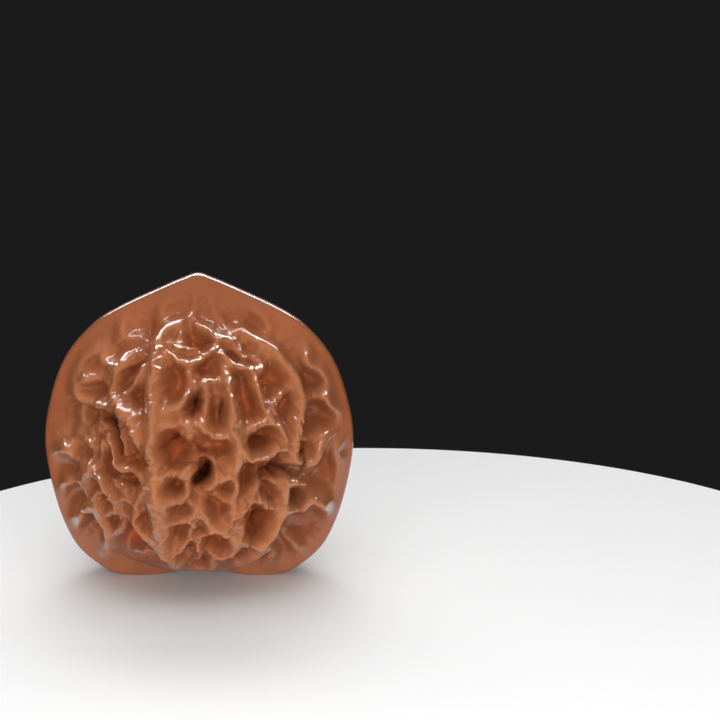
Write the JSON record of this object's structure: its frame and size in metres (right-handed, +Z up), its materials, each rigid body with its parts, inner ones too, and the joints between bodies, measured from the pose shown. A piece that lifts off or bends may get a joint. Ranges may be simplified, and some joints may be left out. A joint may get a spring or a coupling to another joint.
{
  "type": "walnut",
  "caption": "Whole ridged walnut with a broad seam flange, a blunt point and deeply folded bellies, standing on its base.",
  "frame": {"origin": "centre of the nut's footprint, on the surface that it stands on", "axes": "+Z up through the point, X across the seam flange, the near belly faces -Y"},
  "size_m": [0.044, 0.0394, 0.0438],
  "materials": {
    "shell": "hand-polished glossy red-brown nut shell"
  },
  "bodies": {
    "root": {"walnut": "shell"}
  },
  "joints": []
}
